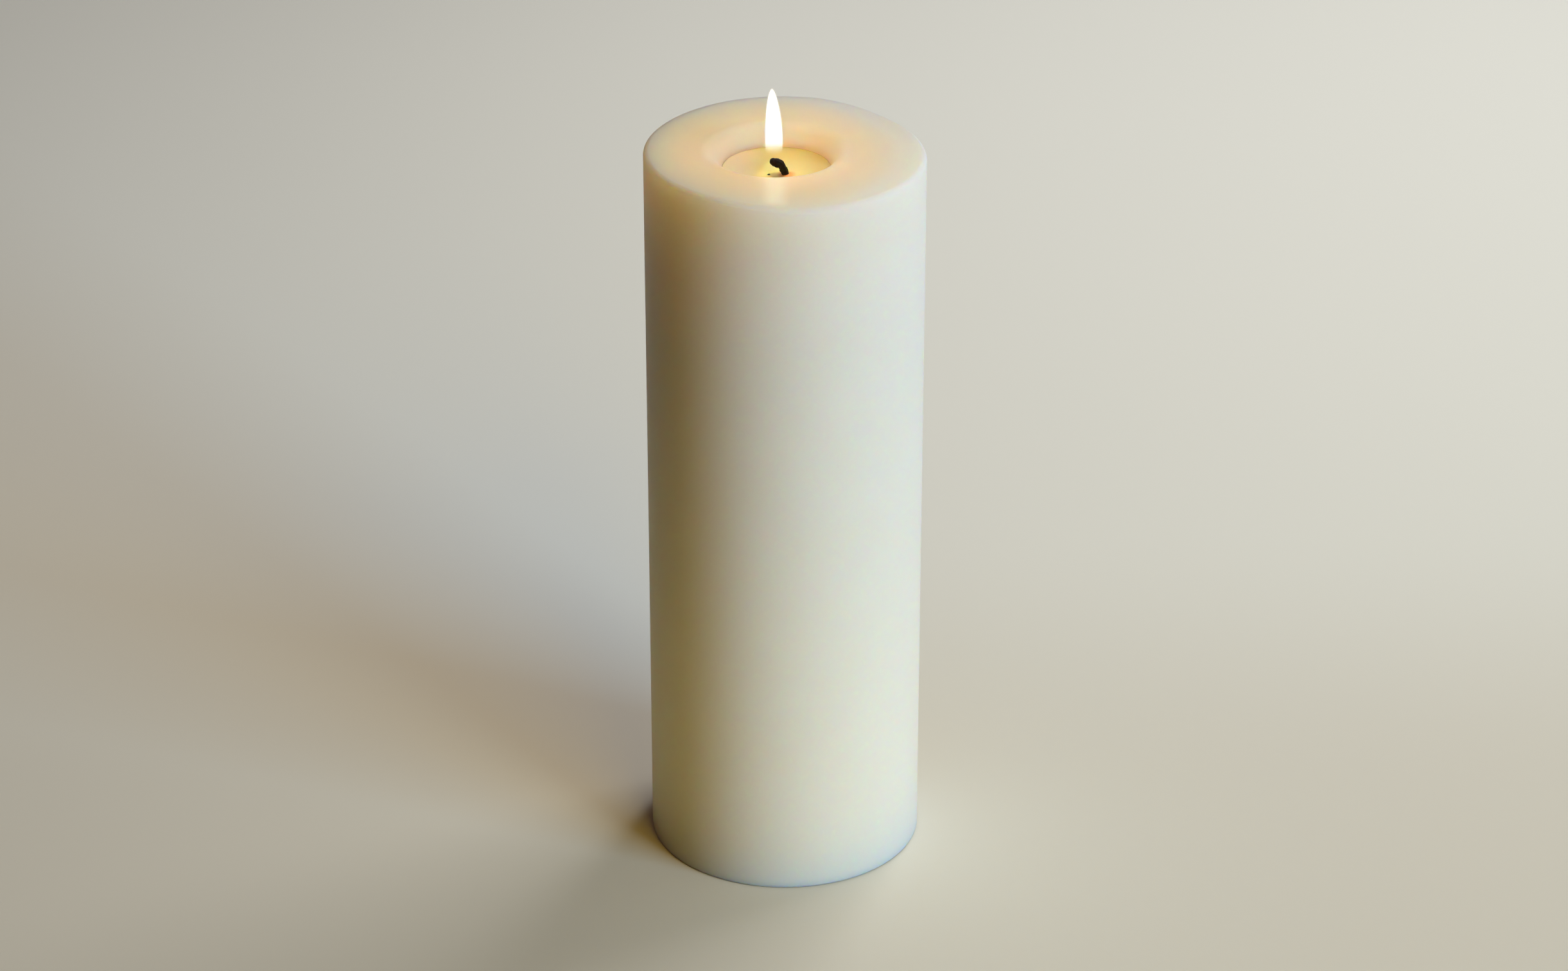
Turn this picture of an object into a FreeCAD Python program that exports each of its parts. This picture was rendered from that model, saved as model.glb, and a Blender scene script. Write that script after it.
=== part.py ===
"""A lit pillar candle, in millimetres, as a parametric document.

The candle stands on the XY plane with its axis on Z, and -Y is its front. It is cast wax with a braided wick
through it, a tin tab that holds the wick at the base, and a burn well with a pool of liquid wax at the top. The
flame round the wick's charred end is a solid of its own, so that it can be left out of a candle that isn't lit.
"""

import FreeCAD
import Part
import Sketcher
import enum
import math
import os

SHEET = "Dimensions"

# Driving dimensions, in millimetres and degrees
DRIVING = {
    # The casting
    "body_diameter": 75.0,
    "body_height": 206.0,
    "rim_rounding": 2.0,
    "base_bevel": 0.8,
    # The burn well: its axis from the casting's axis, then its form from the lip down
    "well_across": -2.2,
    "well_forward": 0.6,
    "lip_rounding": 5.5,
    "well_radius": 14.5,
    "pool_drop": 5.9,
    "pool_depth": 3.2,
    "bowl_slope_run": 3.6,
    "bowl_slope_rise": 2.2,
    "meniscus_width": 0.6,
    # The wick: its place, its cord, and the curl of its charred end
    "wick_across": 0.4,
    "wick_forward": -3.4,
    "wick_diameter": 1.9,
    "curl_heading": 188.0,
    "foot_bend": 1.5,
    "stem_lean": 32.0,
    "stem_length": 1.9,
    "crown_bend": 1.2,
    "head_lean": 74.0,
    "head_length": 2.3,
    "head_thickness": 2.4,
    "tip_thickness": 1.6,
    # The wick tab
    "tab_diameter": 20.0,
    "tab_sheet": 0.3,
    "tab_inset": 0.6,
    "neck_height": 6.0,
    # The flame, which stands over the head of the wick
    "flame_diameter": 5.1,
    "flame_shift": 3.0,
    "flame_foot_gap": 1.3,
    "flame_lower_part": 6.5,
    "flame_upper_part": 16.7,
    "flame_shoulder_diameter": 4.3,
    "flame_shoulder_rise": 9.0,
    "flame_foot_rounding": 1.9,
    "flame_tip_rounding": 0.8,
}

# How far a cutting outline reaches past the face that it opens
OVERCUT = 1.0

FULL_TURN = 360.0
QUARTER_TURN = 90.0


class Axis(enum.IntEnum):
    """Sketcher's numbers for a sketch's own axes. The level one starts at the sketch's origin."""

    LEVEL = -1
    UPRIGHT = -2


class Point(enum.IntEnum):
    """Sketcher's numbers for the points of an edge."""

    START = 1
    END = 2
    CENTRE = 3


START, END, CENTRE = Point


class Size:
    """A formula in the sheet's cells, with the number that it gives, so that each is written once."""

    def __init__(self, text, number):
        self.text = text
        self.number = number

    def _joined(self, sign, other, number):
        text = other.text if isinstance(other, Size) else str(other)
        return Size(f"({self.text} {sign} {text})", number)

    def __add__(self, other):
        return self._joined("+", other, self.number + number_of(other))

    def __sub__(self, other):
        return self._joined("-", other, self.number - number_of(other))

    def __mul__(self, other):
        return self._joined("*", other, self.number * number_of(other))

    def __truediv__(self, other):
        return self._joined("/", other, self.number / number_of(other))


def number_of(value):
    """The plain number of a Size or of a number."""
    return value.number if isinstance(value, Size) else value


def size(alias):
    """The driving dimension of that name."""
    return Size(f"{SHEET}.{alias}", DRIVING[alias])


def sine(angle):
    """The sine of an angle in degrees."""
    return Size(f"sin({angle.text})", math.sin(math.radians(angle.number)))


def cosine(angle):
    """The cosine of an angle in degrees."""
    return Size(f"cos({angle.text})", math.cos(math.radians(angle.number)))


def fill_sheet(doc):
    """Writes each driving dimension beside its name, and gives its cell that alias."""
    sheet = doc.addObject("Spreadsheet::Sheet", SHEET)
    for row, (alias, number) in enumerate(DRIVING.items(), start=1):
        sheet.set(f"A{row}", alias)
        sheet.set(f"B{row}", str(number))
        sheet.setAlias(f"B{row}", alias)
    doc.recompute()


def bind(owner, path, value):
    """Ties a property to the sheet."""
    owner.setExpression(path, value.text)


def new_body(doc, label):
    """A body whose label is the name of its piece."""
    body = doc.addObject("PartDesign::Body", label)
    body.Label = label
    return body


def place_body(body, across, forward, height):
    """Moves a body from the origin by sizes of the sheet."""
    bind(body, "Placement.Base.x", across)
    bind(body, "Placement.Base.y", forward)
    bind(body, "Placement.Base.z", height)


def new_sketch(body, name, role):
    """A sketch on the plane of the body's own origin that has that role."""
    sketch = body.newObject("Sketcher::SketchObject", name)
    plane = next(item for item in body.Origin.OriginFeatures if item.Role == role)
    sketch.AttachmentSupport = [(plane, "")]
    sketch.MapMode = "FlatFace"
    return sketch


def shift_sketch(sketch, right=None, up=None, out=None):
    """Moves a sketch from its plane's origin, along its own axes."""
    for path, value in (("x", right), ("y", up), ("z", out)):
        if value is not None:
            bind(sketch, f"AttachmentOffset.Base.{path}", value)


def draw_line(sketch, start, end):
    """A line between two points, each an x and a y."""
    first = FreeCAD.Vector(number_of(start[0]), number_of(start[1]), 0)
    last = FreeCAD.Vector(number_of(end[0]), number_of(end[1]), 0)
    return sketch.addGeometry(Part.LineSegment(first, last), False)


def hold_radius(sketch, edge, radius):
    """Holds the radius of an arc or a circle."""
    held = sketch.addConstraint(Sketcher.Constraint("Radius", edge, radius.number))
    bind(sketch, f"Constraints[{held}]", radius)


def draw_arc(sketch, centre, radius, first_angle, last_angle):
    """An arc of that radius, anticlockwise between two angles in degrees."""
    middle = FreeCAD.Vector(number_of(centre[0]), number_of(centre[1]), 0)
    circle = Part.Circle(middle, FreeCAD.Vector(0, 0, 1), radius.number)
    arc = Part.ArcOfCircle(circle, math.radians(first_angle), math.radians(last_angle))
    index = sketch.addGeometry(arc, False)
    hold_radius(sketch, index, radius)
    return index


def draw_circle(sketch, radius):
    """A circle on the sketch's origin."""
    circle = Part.Circle(FreeCAD.Vector(0, 0, 0), FreeCAD.Vector(0, 0, 1), radius.number)
    index = sketch.addGeometry(circle, False)
    hold_radius(sketch, index, radius)
    meet(sketch, (index, CENTRE, Axis.LEVEL, START))


def draw_pivot(sketch, distance):
    """A construction line beside the sketch's upright axis, for a section to turn about."""
    low = FreeCAD.Vector(distance.number, 0, 0)
    high = FreeCAD.Vector(distance.number, distance.number, 0)
    line = sketch.addGeometry(Part.LineSegment(low, high), True)
    hold(sketch, "DistanceX", line, START, distance)
    hold(sketch, "DistanceX", line, END, distance)
    hold(sketch, "DistanceY", line, END, distance)
    sketch.addConstraint(Sketcher.Constraint("PointOnObject", line, START, Axis.LEVEL))


def hold(sketch, kind, edge, point, value):
    """Holds a point at a distance from the origin: kind is DistanceX or DistanceY."""
    held = sketch.addConstraint(Sketcher.Constraint(kind, Axis.LEVEL, START, edge, point, value.number))
    bind(sketch, f"Constraints[{held}]", value)


def meet(sketch, *pairs):
    """Joins the end of one edge to the start of the next."""
    for one, one_point, other, other_point in pairs:
        sketch.addConstraint(Sketcher.Constraint("Coincident", one, one_point, other, other_point))


def meet_smoothly(sketch, *pairs):
    """Joins two edges at their ends so that one runs on into the other."""
    for one, one_point, other, other_point in pairs:
        sketch.addConstraint(Sketcher.Constraint("Tangent", one, one_point, other, other_point))


def keep(sketch, kind, *edges):
    """Keeps edges Horizontal or Vertical."""
    for edge in edges:
        sketch.addConstraint(Sketcher.Constraint(kind, edge))


def touch_axis(sketch, edge, point):
    """Holds a point on the sketch's upright axis."""
    sketch.addConstraint(Sketcher.Constraint("PointOnObject", edge, point, Axis.UPRIGHT))


def turn(body, kind, sketch, name):
    """Revolves a sketch about its own upright axis, to add or to cut."""
    feature = body.newObject(kind, name)
    feature.Profile = sketch
    feature.ReferenceAxis = (sketch, ["V_Axis"])
    feature.Angle = FULL_TURN


def swing(body, sketch, angle, name):
    """Turns a section by an angle about the construction line in its sketch."""
    feature = body.newObject("PartDesign::Revolution", name)
    feature.Profile = sketch
    feature.ReferenceAxis = (sketch, ["Axis0"])
    bind(feature, "Angle", angle)


def raise_section(body, sketch, length, name):
    """Carries a section straight on, square to its sketch."""
    feature = body.newObject("PartDesign::Pad", name)
    feature.Profile = sketch
    bind(feature, "Length", length)


def draw_casting(sketch):
    """Half of the casting's section: a plain cylinder with a bevelled base edge and a rounded rim."""
    radius = size("body_diameter") / 2
    height = size("body_height")
    low = size("base_bevel")
    high = size("rim_rounding")
    base = draw_line(sketch, (0, 0), (radius - low, 0))
    bevel = draw_line(sketch, (radius - low, 0), (radius, low))
    side = draw_line(sketch, (radius, low), (radius, height - high))
    rim = draw_arc(sketch, (radius - high, height - high), high, 0, QUARTER_TURN)
    top = draw_line(sketch, (radius - high, height), (0, height))
    axis = draw_line(sketch, (0, height), (0, 0))
    meet(sketch, (base, END, bevel, START), (bevel, END, side, START))
    meet_smoothly(sketch, (side, END, rim, START), (rim, END, top, START))
    meet(sketch, (top, END, axis, START), (axis, END, base, START), (base, START, Axis.LEVEL, START))
    keep(sketch, "Horizontal", base, top)
    keep(sketch, "Vertical", side, axis)
    hold(sketch, "DistanceX", base, END, radius - low)
    hold(sketch, "DistanceX", side, START, radius)
    hold(sketch, "DistanceY", side, START, low)
    hold(sketch, "DistanceY", top, END, height)


def well_height():
    """From the bowl's floor to the rim."""
    return size("pool_depth") + size("pool_drop")


def draw_well(sketch):
    """Half of the well's hollow, from the bowl's floor up and out past the rim.

    The floor slopes up to the foot of an upright wall, and a wide round lip runs from the wall out to the flat top.
    """
    run = size("bowl_slope_run")
    rise = size("bowl_slope_rise")
    lip = size("lip_rounding")
    radius = size("well_radius")
    rim = well_height()
    top = rim + OVERCUT
    floor = draw_line(sketch, (0, 0), (radius - run, 0))
    slope = draw_line(sketch, (radius - run, 0), (radius, rise))
    wall = draw_line(sketch, (radius, rise), (radius, rim - lip))
    roll = draw_arc(sketch, (radius + lip, rim - lip), lip, QUARTER_TURN, 2 * QUARTER_TURN)
    side = draw_line(sketch, (radius + lip, rim), (radius + lip, top))
    over = draw_line(sketch, (radius + lip, top), (0, top))
    axis = draw_line(sketch, (0, top), (0, 0))
    meet(sketch, (floor, END, slope, START), (slope, END, wall, START))
    meet_smoothly(sketch, (wall, END, roll, END))
    meet(sketch, (roll, START, side, START), (side, END, over, START), (over, END, axis, START))
    meet(sketch, (axis, END, floor, START), (floor, START, Axis.LEVEL, START))
    keep(sketch, "Horizontal", floor, over)
    keep(sketch, "Vertical", wall, side, axis)
    hold(sketch, "DistanceX", slope, START, radius - run)
    hold(sketch, "DistanceX", slope, END, radius)
    hold(sketch, "DistanceY", slope, END, rise)
    hold(sketch, "DistanceX", roll, START, radius + lip)
    hold(sketch, "DistanceY", roll, CENTRE, rim - lip)
    hold(sketch, "DistanceY", over, END, top)


def draw_air(sketch):
    """Half of the space over the pool. It widens as it rises, so that the liquid stays drawn up the wall."""
    level = size("pool_depth")
    edge = size("well_radius") - size("meniscus_width")
    top = level + size("pool_drop") + 2 * OVERCUT
    out = size("well_radius") + size("lip_rounding") + size("pool_drop")
    surface = draw_line(sketch, (0, level), (edge, level))
    slope = draw_line(sketch, (edge, level), (out, top))
    over = draw_line(sketch, (out, top), (0, top))
    axis = draw_line(sketch, (0, top), (0, level))
    meet(sketch, (surface, END, slope, START), (slope, END, over, START))
    meet(sketch, (over, END, axis, START), (axis, END, surface, START))
    keep(sketch, "Horizontal", surface, over)
    keep(sketch, "Vertical", axis)
    touch_axis(sketch, axis, END)
    hold(sketch, "DistanceX", surface, END, edge)
    hold(sketch, "DistanceY", surface, END, level)
    hold(sketch, "DistanceX", slope, END, out)
    hold(sketch, "DistanceY", slope, END, top)


def draw_tab(sketch, bore, underside):
    """Half of the tab's section: a disc with a neck up from it, round a bore.

    With no bore and no underside it is the seat that the tab leaves in the wax, open at the base.
    """
    disc = size("tab_diameter") / 2
    upper = size("tab_inset") + size("tab_sheet")
    neck = size("wick_diameter") / 2 + size("tab_sheet")
    top = size("tab_inset") + size("neck_height")
    inner = bore or 0
    under = underside or 0
    flat = draw_line(sketch, (inner, under), (disc, under))
    edge = draw_line(sketch, (disc, under), (disc, upper))
    face = draw_line(sketch, (disc, upper), (neck, upper))
    tube = draw_line(sketch, (neck, upper), (neck, top))
    end = draw_line(sketch, (neck, top), (inner, top))
    inside = draw_line(sketch, (inner, top), (inner, under))
    meet(sketch, (flat, END, edge, START), (edge, END, face, START), (face, END, tube, START))
    meet(sketch, (tube, END, end, START), (end, END, inside, START), (inside, END, flat, START))
    keep(sketch, "Horizontal", flat, face, end)
    keep(sketch, "Vertical", edge, tube, inside)
    hold(sketch, "DistanceX", edge, START, disc)
    hold(sketch, "DistanceY", edge, END, upper)
    hold(sketch, "DistanceX", tube, END, neck)
    hold(sketch, "DistanceY", end, END, top)
    if bore is None:
        meet(sketch, (flat, START, Axis.LEVEL, START))
        return
    hold(sketch, "DistanceX", inside, END, bore)
    hold(sketch, "DistanceY", inside, END, underside)


def make_wax_body(doc):
    """The casting, with its burn well, the wick's bore and the tab's seat."""
    body = new_body(doc, "wax_body")

    profile = new_sketch(body, "casting_profile", "XZ_Plane")
    draw_casting(profile)
    turn(body, "PartDesign::Revolution", profile, "casting")

    well = new_sketch(body, "well_profile", "XZ_Plane")
    draw_well(well)
    behind = size("well_forward") * -1
    shift_sketch(well, size("well_across"), size("body_height") - well_height(), behind)
    turn(body, "PartDesign::Groove", well, "burn_well")

    bore = new_sketch(body, "wick_bore_profile", "XY_Plane")
    draw_circle(bore, size("wick_diameter") / 2)
    shift_sketch(bore, size("wick_across"), size("wick_forward"))
    channel = body.newObject("PartDesign::Pocket", "wick_bore")
    channel.Profile = bore
    channel.Reversed = True
    bind(channel, "Length", size("body_height"))

    seat = new_sketch(body, "tab_seat_profile", "XZ_Plane")
    draw_tab(seat, None, None)
    shift_sketch(seat, right=size("wick_across"), out=size("wick_forward") * -1)
    turn(body, "PartDesign::Groove", seat, "tab_seat")
    return body


def make_melt_pool(doc):
    """The liquid wax: what fills the bowl up to the pool's level, with the wick standing in it."""
    body = new_body(doc, "melt_pool")
    place_body(body, size("well_across"), size("well_forward"), size("body_height") - well_height())

    fill = new_sketch(body, "fill_profile", "XZ_Plane")
    draw_well(fill)
    turn(body, "PartDesign::Revolution", fill, "fill")

    air = new_sketch(body, "air_profile", "XZ_Plane")
    draw_air(air)
    turn(body, "PartDesign::Groove", air, "surface")

    bore = new_sketch(body, "wick_hole_profile", "XY_Plane")
    draw_circle(bore, size("wick_diameter") / 2)
    right = size("wick_across") - size("well_across")
    shift_sketch(bore, right, size("wick_forward") - size("well_forward"))
    hole = body.newObject("PartDesign::Pocket", "wick_hole")
    hole.Profile = bore
    hole.Reversed = True
    bind(hole, "Length", well_height())
    return body


def curl_points():
    """The points of the curl's centre line, from the pool's surface: how far out, and how far up.

    The cord leans over by a small bend at its foot, runs straight as the stem, and turns over by a tighter bend
    at the crown.
    """
    lean = size("stem_lean")
    fall = size("head_lean")
    foot = size("foot_bend") * (Size("1", 1) - cosine(lean)), size("foot_bend") * sine(lean)
    neck = foot[0] + size("stem_length") * sine(lean), foot[1] + size("stem_length") * cosine(lean)
    crown = (
        neck[0] + size("crown_bend") * (cosine(lean) - cosine(fall)),
        neck[1] + size("crown_bend") * (sine(fall) - sine(lean)),
    )
    return foot, neck, crown


def new_cord_section(body, name, across, height, lean=None, pivot=None):
    """A round section of the cord on its way up: leaning over, and with a line beside it to turn about."""
    section = new_sketch(body, name, "XY_Plane")
    draw_circle(section, size("wick_diameter") / 2)
    if pivot:
        draw_pivot(section, pivot)
    if lean:
        tilt = FreeCAD.Rotation(FreeCAD.Vector(0, 1, 0), lean.number)
        section.AttachmentOffset = FreeCAD.Placement(FreeCAD.Vector(0, 0, 0), tilt)
        bind(section, "AttachmentOffset.Rotation.Angle", lean)
    shift_sketch(section, right=across, out=height)
    return section


def draw_head(sketch):
    """Half of the head's outline: a round shoulder, a side that draws in, and a blunt round tip."""
    thick = size("head_thickness") / 2
    thin = size("tip_thickness") / 2
    length = size("head_length")
    shoulder = draw_arc(sketch, (0, 0), thick, -QUARTER_TURN, 0)
    side = draw_line(sketch, (thick, 0), (thin, length - thin))
    tip = draw_arc(sketch, (0, length - thin), thin, 0, QUARTER_TURN)
    axis = draw_line(sketch, (0, length), (0, thick * -1))
    meet_smoothly(sketch, (shoulder, END, side, START), (side, END, tip, START))
    meet(sketch, (tip, END, axis, START), (axis, END, shoulder, START))
    meet(sketch, (shoulder, CENTRE, Axis.LEVEL, START))
    touch_axis(sketch, shoulder, START)
    touch_axis(sketch, tip, CENTRE)
    touch_axis(sketch, tip, END)
    hold(sketch, "DistanceY", tip, END, length)


def make_wick(doc):
    """The braided cord from the tab up to the pool's surface, and its charred end curled over above it."""
    body = new_body(doc, "wick")
    base = size("tab_inset")
    rise = size("body_height") - size("pool_drop") - base
    place_body(body, size("wick_across"), size("wick_forward"), base)
    body.Placement.Rotation = FreeCAD.Rotation(FreeCAD.Vector(0, 0, 1), DRIVING["curl_heading"])
    bind(body, "Placement.Rotation.Angle", size("curl_heading"))
    foot, neck, crown = curl_points()
    lean = size("stem_lean")
    fall = size("head_lean")

    section = new_sketch(body, "cord_section", "XY_Plane")
    draw_circle(section, size("wick_diameter") / 2)
    raise_section(body, section, rise, "cord")

    section = new_cord_section(body, "foot_section", None, rise, pivot=size("foot_bend"))
    swing(body, section, lean, "foot_of_curl")

    section = new_cord_section(body, "stem_section", foot[0], rise + foot[1], lean=lean)
    raise_section(body, section, size("stem_length"), "stem")

    pivot = size("crown_bend")
    section = new_cord_section(body, "crown_section", neck[0], rise + neck[1], lean=lean, pivot=pivot)
    swing(body, section, fall - lean, "crown_of_curl")

    outline = new_sketch(body, "head_outline", "XZ_Plane")
    draw_head(outline)
    tilt = FreeCAD.Rotation(FreeCAD.Vector(0, 0, -1), fall.number)
    outline.AttachmentOffset = FreeCAD.Placement(FreeCAD.Vector(0, 0, 0), tilt)
    bind(outline, "AttachmentOffset.Rotation.Angle", fall)
    shift_sketch(outline, right=crown[0], up=rise + crown[1])
    turn(body, "PartDesign::Revolution", outline, "charred_head")
    return body


def make_wick_tab(doc):
    """The tinplate tab that holds the wick's foot, set into the base."""
    body = new_body(doc, "wick_tab")
    place_body(body, size("wick_across"), size("wick_forward"), Size("0", 0))
    section = new_sketch(body, "tab_profile", "XZ_Plane")
    draw_tab(section, size("wick_diameter") / 2, size("tab_inset"))
    turn(body, "PartDesign::Revolution", section, "tab")
    return body


def draw_flame(sketch):
    """Half of the flame's outline: a round foot, a side that swells and then draws in twice, and a round tip."""
    wide = size("flame_diameter") / 2
    belly = size("flame_lower_part")
    shoulder = size("flame_shoulder_diameter") / 2
    narrows = belly + size("flame_shoulder_rise")
    top = belly + size("flame_upper_part")
    foot = size("flame_foot_rounding")
    point = size("flame_tip_rounding")
    bottom = draw_arc(sketch, (0, foot), foot, -QUARTER_TURN, 0)
    swell = draw_line(sketch, (foot, foot), (wide, belly))
    side = draw_line(sketch, (wide, belly), (shoulder, narrows))
    close = draw_line(sketch, (shoulder, narrows), (point, top - point))
    tip = draw_arc(sketch, (0, top - point), point, 0, QUARTER_TURN)
    axis = draw_line(sketch, (0, top), (0, 0))
    meet_smoothly(sketch, (bottom, END, swell, START), (close, END, tip, START))
    meet(sketch, (swell, END, side, START), (side, END, close, START), (tip, END, axis, START))
    meet(sketch, (axis, END, bottom, START), (axis, END, Axis.LEVEL, START))
    touch_axis(sketch, bottom, CENTRE)
    touch_axis(sketch, tip, CENTRE)
    touch_axis(sketch, tip, END)
    hold(sketch, "DistanceX", swell, END, wide)
    hold(sketch, "DistanceY", swell, END, belly)
    hold(sketch, "DistanceX", close, START, shoulder)
    hold(sketch, "DistanceY", close, START, narrows)
    hold(sketch, "DistanceY", tip, END, top)


def make_flame(doc, wick):
    """The flame: a turned drop that stands round the head of the wick, less the wick itself."""
    heading = size("curl_heading")
    across = size("wick_across") + size("flame_shift") * cosine(heading)
    forward = size("wick_forward") + size("flame_shift") * sine(heading)
    form = new_body(doc, "flame_form")
    place_body(form, across, forward, size("body_height") - size("pool_drop") + size("flame_foot_gap"))
    outline = new_sketch(form, "flame_outline", "XZ_Plane")
    draw_flame(outline)
    turn(form, "PartDesign::Revolution", outline, "drop")
    flame = doc.addObject("Part::Cut", "flame")
    flame.Label = "flame"
    flame.Base = form
    flame.Tool = wick
    return flame


def check(doc, pieces):
    """Stops if any object failed, if a cut cut nothing, or if a piece isn't one valid solid."""
    for item in doc.Objects:
        bad = [state for state in item.State if state in ("Invalid", "Error")]
        if bad:
            raise RuntimeError(f"{item.Name} is {bad}")
    for piece in pieces:
        if piece.Shape.isNull() or not piece.Shape.isValid() or len(piece.Shape.Solids) != 1:
            raise RuntimeError(f"{piece.Label} isn't one valid solid")
        if piece.TypeId != "PartDesign::Body":
            continue
        features = [item for item in piece.Group if hasattr(item, "AddSubShape")]
        for before, after in zip(features, features[1:]):
            change = after.Shape.Volume - before.Shape.Volume
            cuts = after.TypeId in ("PartDesign::Pocket", "PartDesign::Groove")
            if change == 0 or cuts != (change < 0):
                raise RuntimeError(f"{after.Name} changes nothing")


def main():
    """Builds the document and writes one STEP file a piece."""
    doc = FreeCAD.newDocument("pillar_candle")
    fill_sheet(doc)
    wick = make_wick(doc)
    pieces = [make_wax_body(doc), make_melt_pool(doc), wick, make_wick_tab(doc), make_flame(doc, wick)]
    doc.recompute()
    check(doc, pieces)
    os.makedirs("parts", exist_ok=True)
    for piece in pieces:
        piece.Shape.exportStep(os.path.join("parts", f"{piece.Label}.step"))
        box = piece.Shape.BoundBox
        print(f"{piece.Label}: {piece.Shape.Volume:.1f} mm3, z {box.ZMin:.2f} to {box.ZMax:.2f}")


main()
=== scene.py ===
"""A lit pillar candle: cast wax with a burn well, liquid wax, a charred braided wick, its tin tab and the flame.

Lengths are in metres, the candle stands on z = 0 with its axis on Z, and -Y is its front. Each surface is a grid of
points: rings of equal count, one after another, worked out as whole arrays.
"""

import math

import bpy
import numpy as np
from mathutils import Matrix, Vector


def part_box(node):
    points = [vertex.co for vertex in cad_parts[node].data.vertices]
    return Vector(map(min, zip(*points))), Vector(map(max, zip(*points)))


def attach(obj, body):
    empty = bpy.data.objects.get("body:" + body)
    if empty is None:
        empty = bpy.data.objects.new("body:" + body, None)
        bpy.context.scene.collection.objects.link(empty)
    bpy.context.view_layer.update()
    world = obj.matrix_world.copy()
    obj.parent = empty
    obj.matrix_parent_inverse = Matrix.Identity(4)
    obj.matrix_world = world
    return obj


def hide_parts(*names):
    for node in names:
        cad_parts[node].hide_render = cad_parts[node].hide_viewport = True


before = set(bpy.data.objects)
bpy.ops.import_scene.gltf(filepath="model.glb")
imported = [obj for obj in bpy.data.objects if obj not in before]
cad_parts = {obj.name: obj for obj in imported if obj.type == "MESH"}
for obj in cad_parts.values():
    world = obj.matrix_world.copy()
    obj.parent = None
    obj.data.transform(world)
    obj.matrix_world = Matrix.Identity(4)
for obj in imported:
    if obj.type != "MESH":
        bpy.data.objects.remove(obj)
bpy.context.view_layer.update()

MM = 0.001
TURN = 2 * math.pi


def node_box(name):
    """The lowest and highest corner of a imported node, as arrays."""
    low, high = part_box(name)
    return np.array(low), np.array(high)


WAX_LOW, WAX_HIGH = node_box("wax_body")
POOL_LOW, POOL_HIGH = node_box("melt_pool")
TAB_LOW, TAB_HIGH = node_box("wick_tab")
FLAME_LOW, FLAME_HIGH = node_box("flame")

# The casting's roundings
RIM_ROUNDING = 1.5 * MM
BASE_ROUNDING = 0.8 * MM
LIP_ROUNDING = 5.5 * MM

# The bowl at the foot of the well's wall, and the liquid in it
BOWL_RUN = 3.6 * MM
BOWL_RISE = 2.2 * MM
POOL_DROP = 5.9 * MM
POOL_CREEP_AT_WALL = 0.05 * MM
POOL_CREEP_AT_WICK = 0.25 * MM
CREEP_REACH = 0.4 * MM
POOL_HOLE = 0.5 * MM

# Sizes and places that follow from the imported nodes
RADIUS = (WAX_HIGH[0] - WAX_LOW[0]) / 2
HEIGHT = WAX_HIGH[2]
AXIS = np.zeros(2)
WELL_CENTRE = (POOL_LOW[:2] + POOL_HIGH[:2]) / 2
WELL_RADIUS = (POOL_HIGH[0] - POOL_LOW[0]) / 2
BOWL_FLOOR = POOL_LOW[2]
BOWL_EDGE = WELL_RADIUS - BOWL_RUN
WALL_FOOT = (WELL_RADIUS, BOWL_FLOOR + BOWL_RISE)
POOL_LEVEL = HEIGHT - POOL_DROP
WICK_CENTRE = (TAB_LOW[:2] + TAB_HIGH[:2]) / 2
TAB_RADIUS = (TAB_HIGH[0] - TAB_LOW[0]) / 2
TAB_UNDERSIDE = TAB_LOW[2]
TAB_TOP = TAB_HIGH[2]
TAB_SHEET = 0.3 * MM
FLAME_MIDDLE = (FLAME_LOW[:2] + FLAME_HIGH[:2]) / 2
FLAME_HEIGHT = FLAME_HIGH[2] - FLAME_LOW[2]
FLAME_RADIUS = (FLAME_HIGH[0] - FLAME_LOW[0]) / 2

# How uneven the cast and the melted wax are
SIDE_UNEVENNESS = 0.10 * MM
TOP_UNEVENNESS = 0.16 * MM
WELL_UNEVENNESS = 0.012

# How far the rim has sunk as the wax softened, all of it towards the right and a little to the front
CROWN_START = 20.0 * MM
CROWN_FADE = 30.0 * MM
MOST_SINK = 1.5 * MM
SINK_HEADING = math.radians(-20.0)
SINK_EDGES = (math.cos(math.radians(100.0)), math.cos(math.radians(55.0)))

# How far the top dishes towards the well, most at the left, how far from the well's wall the dish begins, and how far
# under the top it starts to fade down the wall
DISH_REACH = 14.0 * MM
DISH_WHOLE = 1.5 * MM
LEAST_DISH = 0.4 * MM
MOST_DISH = 0.95 * MM
DISH_HEADING = math.radians(170.0)

# The wick: its radius, the shares of it that the cord has and may have inside the bore, its braid, and the crust and
# the tip of its charred end
WICK_RADIUS = 0.95 * MM
CORD_SHARE = 0.985
LARGEST_SHARE_IN_BORE = 0.99
STRANDS = 3
BRAID_PITCH = 1.7 * MM
RIDGE = 0.05 * MM
CHARRED_RIDGE = 0.10 * MM
CRUST = 0.22 * MM
TIP_BULGE = 0.8

# The curl of the wick above the pool: distances out along its heading and up from the pool, and the cord's radius
CURL_HEADING = math.radians(188.0)
CURL_POINTS = np.array([
    (0.0, -3.0, 0.95),
    (0.16, -0.6, 0.98),
    (0.40, 0.45, 0.98),
    (0.78, 1.45, 1.02),
    (1.24, 2.40, 1.02),
    (1.82, 3.12, 1.14),
    (2.52, 3.34, 1.28),
    (3.22, 3.72, 1.10),
    (3.70, 3.98, 0.94),
]) * MM

# The crumb of char on the pool: its place, its radius, and how that is stretched along X, Y and Z
CRUMB_PLACE = np.array([-4.27 * MM, -3.64 * MM, POOL_LEVEL + 0.05 * MM])
CRUMB_SIZE = 0.30 * MM
CRUMB_FORM = (1.3, 1.0, 0.6)
CRUMB_UNEVENNESS = 0.35

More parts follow.
